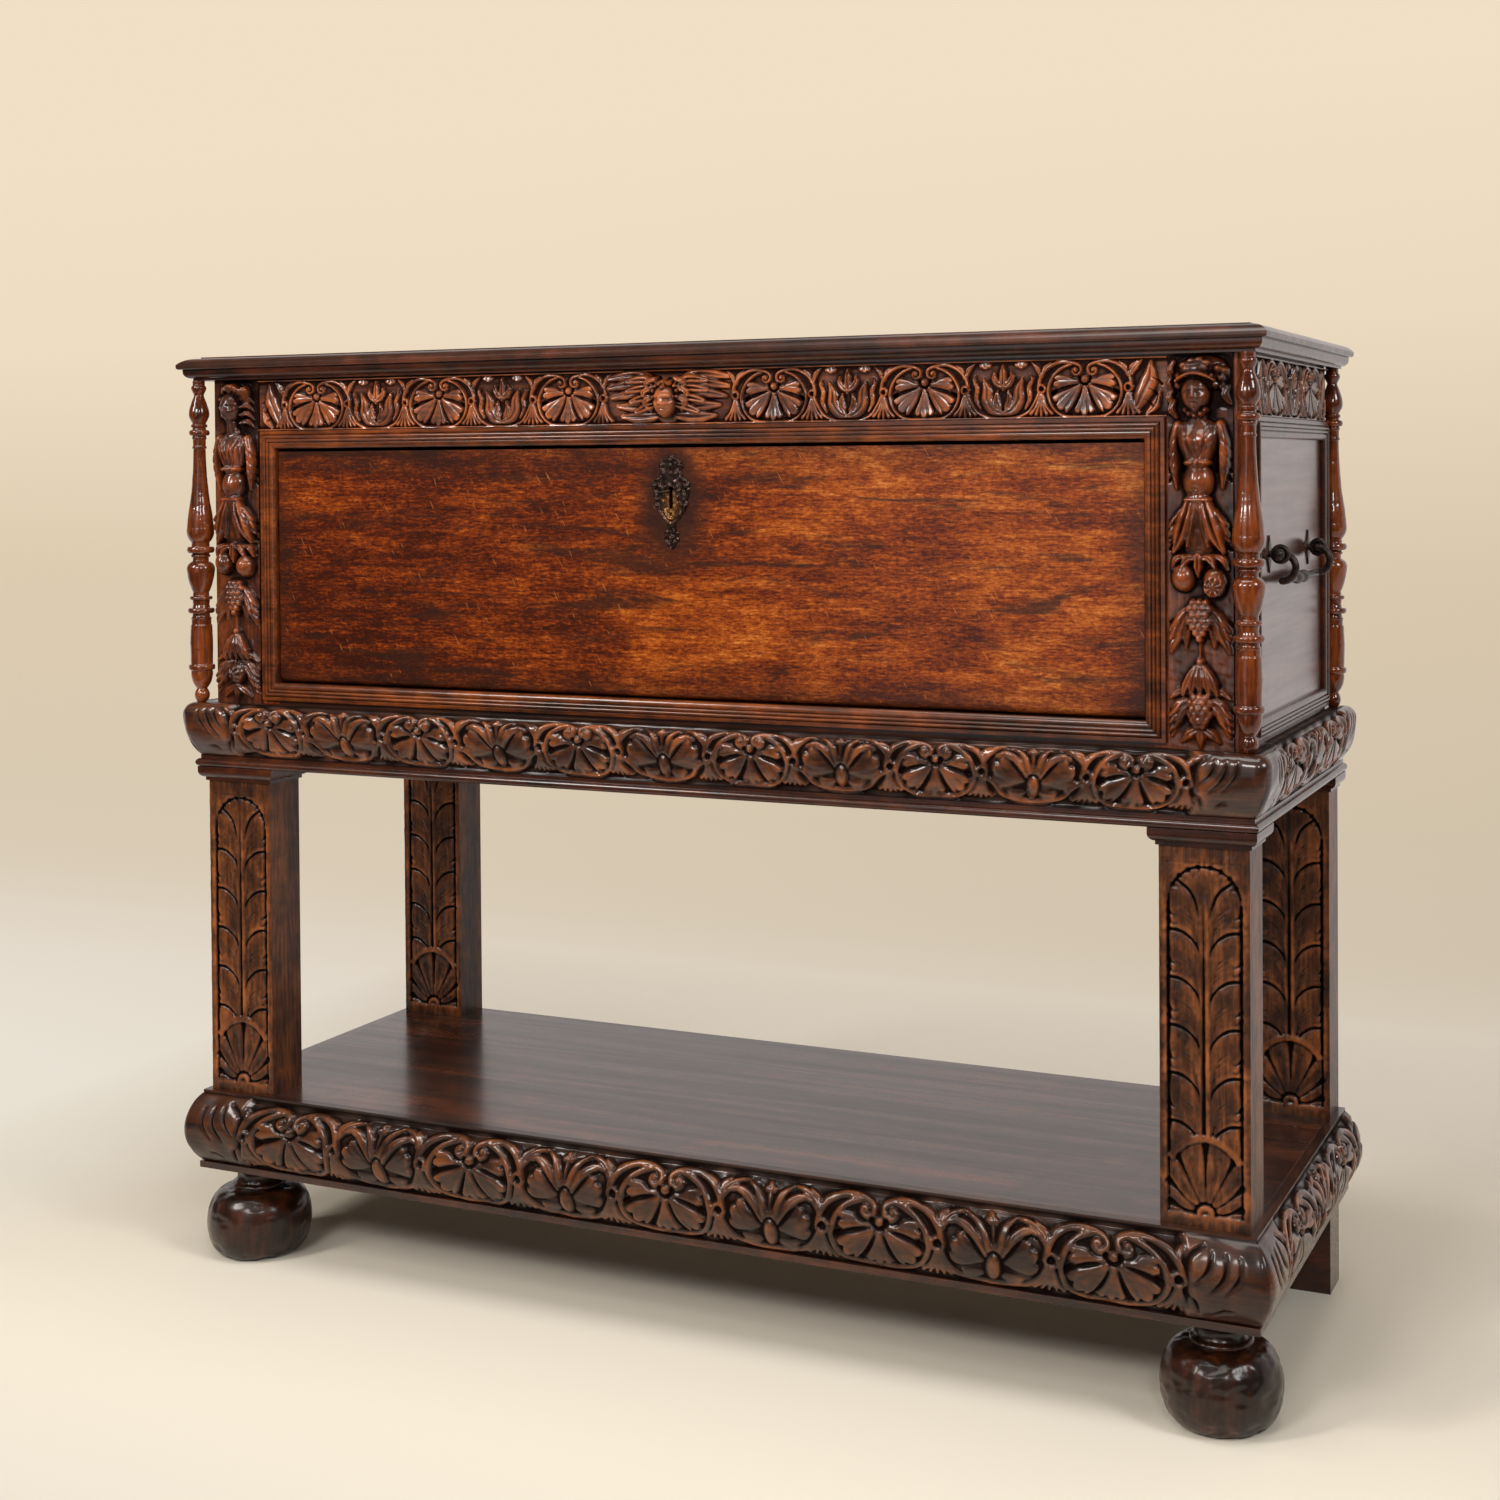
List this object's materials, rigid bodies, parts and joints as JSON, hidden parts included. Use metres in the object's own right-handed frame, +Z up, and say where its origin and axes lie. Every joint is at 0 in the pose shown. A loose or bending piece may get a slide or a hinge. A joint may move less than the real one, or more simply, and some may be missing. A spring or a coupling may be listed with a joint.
{
  "type": "fall-front cabinet on stand",
  "caption": "Carved walnut cabinet on an open stand: a case with a hinged fall front, lock and iron drop handles over a low shelf, with carved legs, bun feet and plank rear feet.",
  "frame": {"origin": "on the floor under the middle of the cabinet's width and depth", "axes": "+X to the viewer's right along the width, +Y to the back, +Z up"},
  "size_m": [1.4, 0.492, 1.148],
  "materials": {
    "carved_walnut": "hand carved, waxed, worn on the high places",
    "moulded_walnut": "planed and waxed",
    "turned_walnut": "turned and polished",
    "polished_walnut": "polished boards",
    "flap_walnut": "figured board, waxed",
    "plain_wood": "sawn, unpolished",
    "wrought_iron": "forged, dark",
    "lock_iron": "cast, worn"
  },
  "bodies": {
    "case": {"back_planks": "plain_wood", "baluster_front_left": "turned_walnut", "baluster_front_right": "turned_walnut", "baluster_rear_left": "turned_walnut", "baluster_rear_right": "turned_walnut", "bun_foot_left": "turned_walnut", "bun_foot_right": "turned_walnut", "capitals_front": "moulded_walnut", "capitals_rear": "moulded_walnut", "case_bottom": "plain_wood", "case_side_left": "moulded_walnut", "case_side_right": "moulded_walnut", "cherub_mask": "carved_walnut", "cornice": "moulded_walnut", "foot_blocks": "plain_wood", "frieze_front": "carved_walnut", "frieze_left": "carved_walnut", "frieze_right": "carved_walnut", "handle_eyes": "wrought_iron", "handle_plates": "wrought_iron", "leg_front_left": "carved_walnut", "leg_front_right": "carved_walnut", "leg_rear_left": "carved_walnut", "leg_rear_right": "carved_walnut", "opening_moulding": "moulded_walnut", "plinth_back": "plain_wood", "plinth_front": "carved_walnut", "plinth_left": "carved_walnut", "plinth_right": "carved_walnut", "rail_bottom": "moulded_walnut", "rail_top": "moulded_walnut", "rear_foot_left": "moulded_walnut", "rear_foot_right": "moulded_walnut", "shelf_board": "polished_walnut", "shelf_fillet": "moulded_walnut", "shelf_rail_back": "plain_wood", "shelf_rail_front": "carved_walnut", "shelf_rail_left": "carved_walnut", "shelf_rail_right": "carved_walnut", "side_moulding_left": "moulded_walnut", "side_moulding_right": "moulded_walnut", "stand_top": "moulded_walnut", "stay_guides": "wrought_iron", "stile_left": "moulded_walnut", "stile_right": "moulded_walnut", "stop_strips": "plain_wood", "strike_plate": "wrought_iron", "term_left": "carved_walnut", "term_right": "carved_walnut", "top_board": "polished_walnut"},
    "flap": {"fall_front": "flap_walnut", "pivot_pins": "wrought_iron", "stays": "wrought_iron", "lock_escutcheon": "lock_iron", "escutcheon_nails": "lock_iron", "lock_case": "lock_iron"},
    "bolt": {"lock_bolt": "lock_iron"},
    "handle_left": {"handle_bail_left": "wrought_iron"},
    "handle_right": {"handle_bail_right": "wrought_iron"}
  },
  "joints": [
    {"name": "flap_hinge", "type": "hinge", "parent": "case", "child": "flap", "pos_m": [0, -0.205, 0.746], "axis": [1, 0, 0], "range_deg": [0, 90]},
    {"name": "bolt_slide", "type": "slide", "parent": "flap", "child": "bolt", "axis": [0, 0, 1], "range_m": [0, 0.012]},
    {"name": "handle_left_swing", "type": "hinge", "parent": "case", "child": "handle_left", "pos_m": [-0.681, -0.01, 0.9075], "axis": [0, 1, 0], "range_deg": [0, 110]},
    {"name": "handle_right_swing", "type": "hinge", "parent": "case", "child": "handle_right", "pos_m": [0.681, -0.01, 0.9075], "axis": [0, -1, 0], "range_deg": [0, 110]}
  ]
}
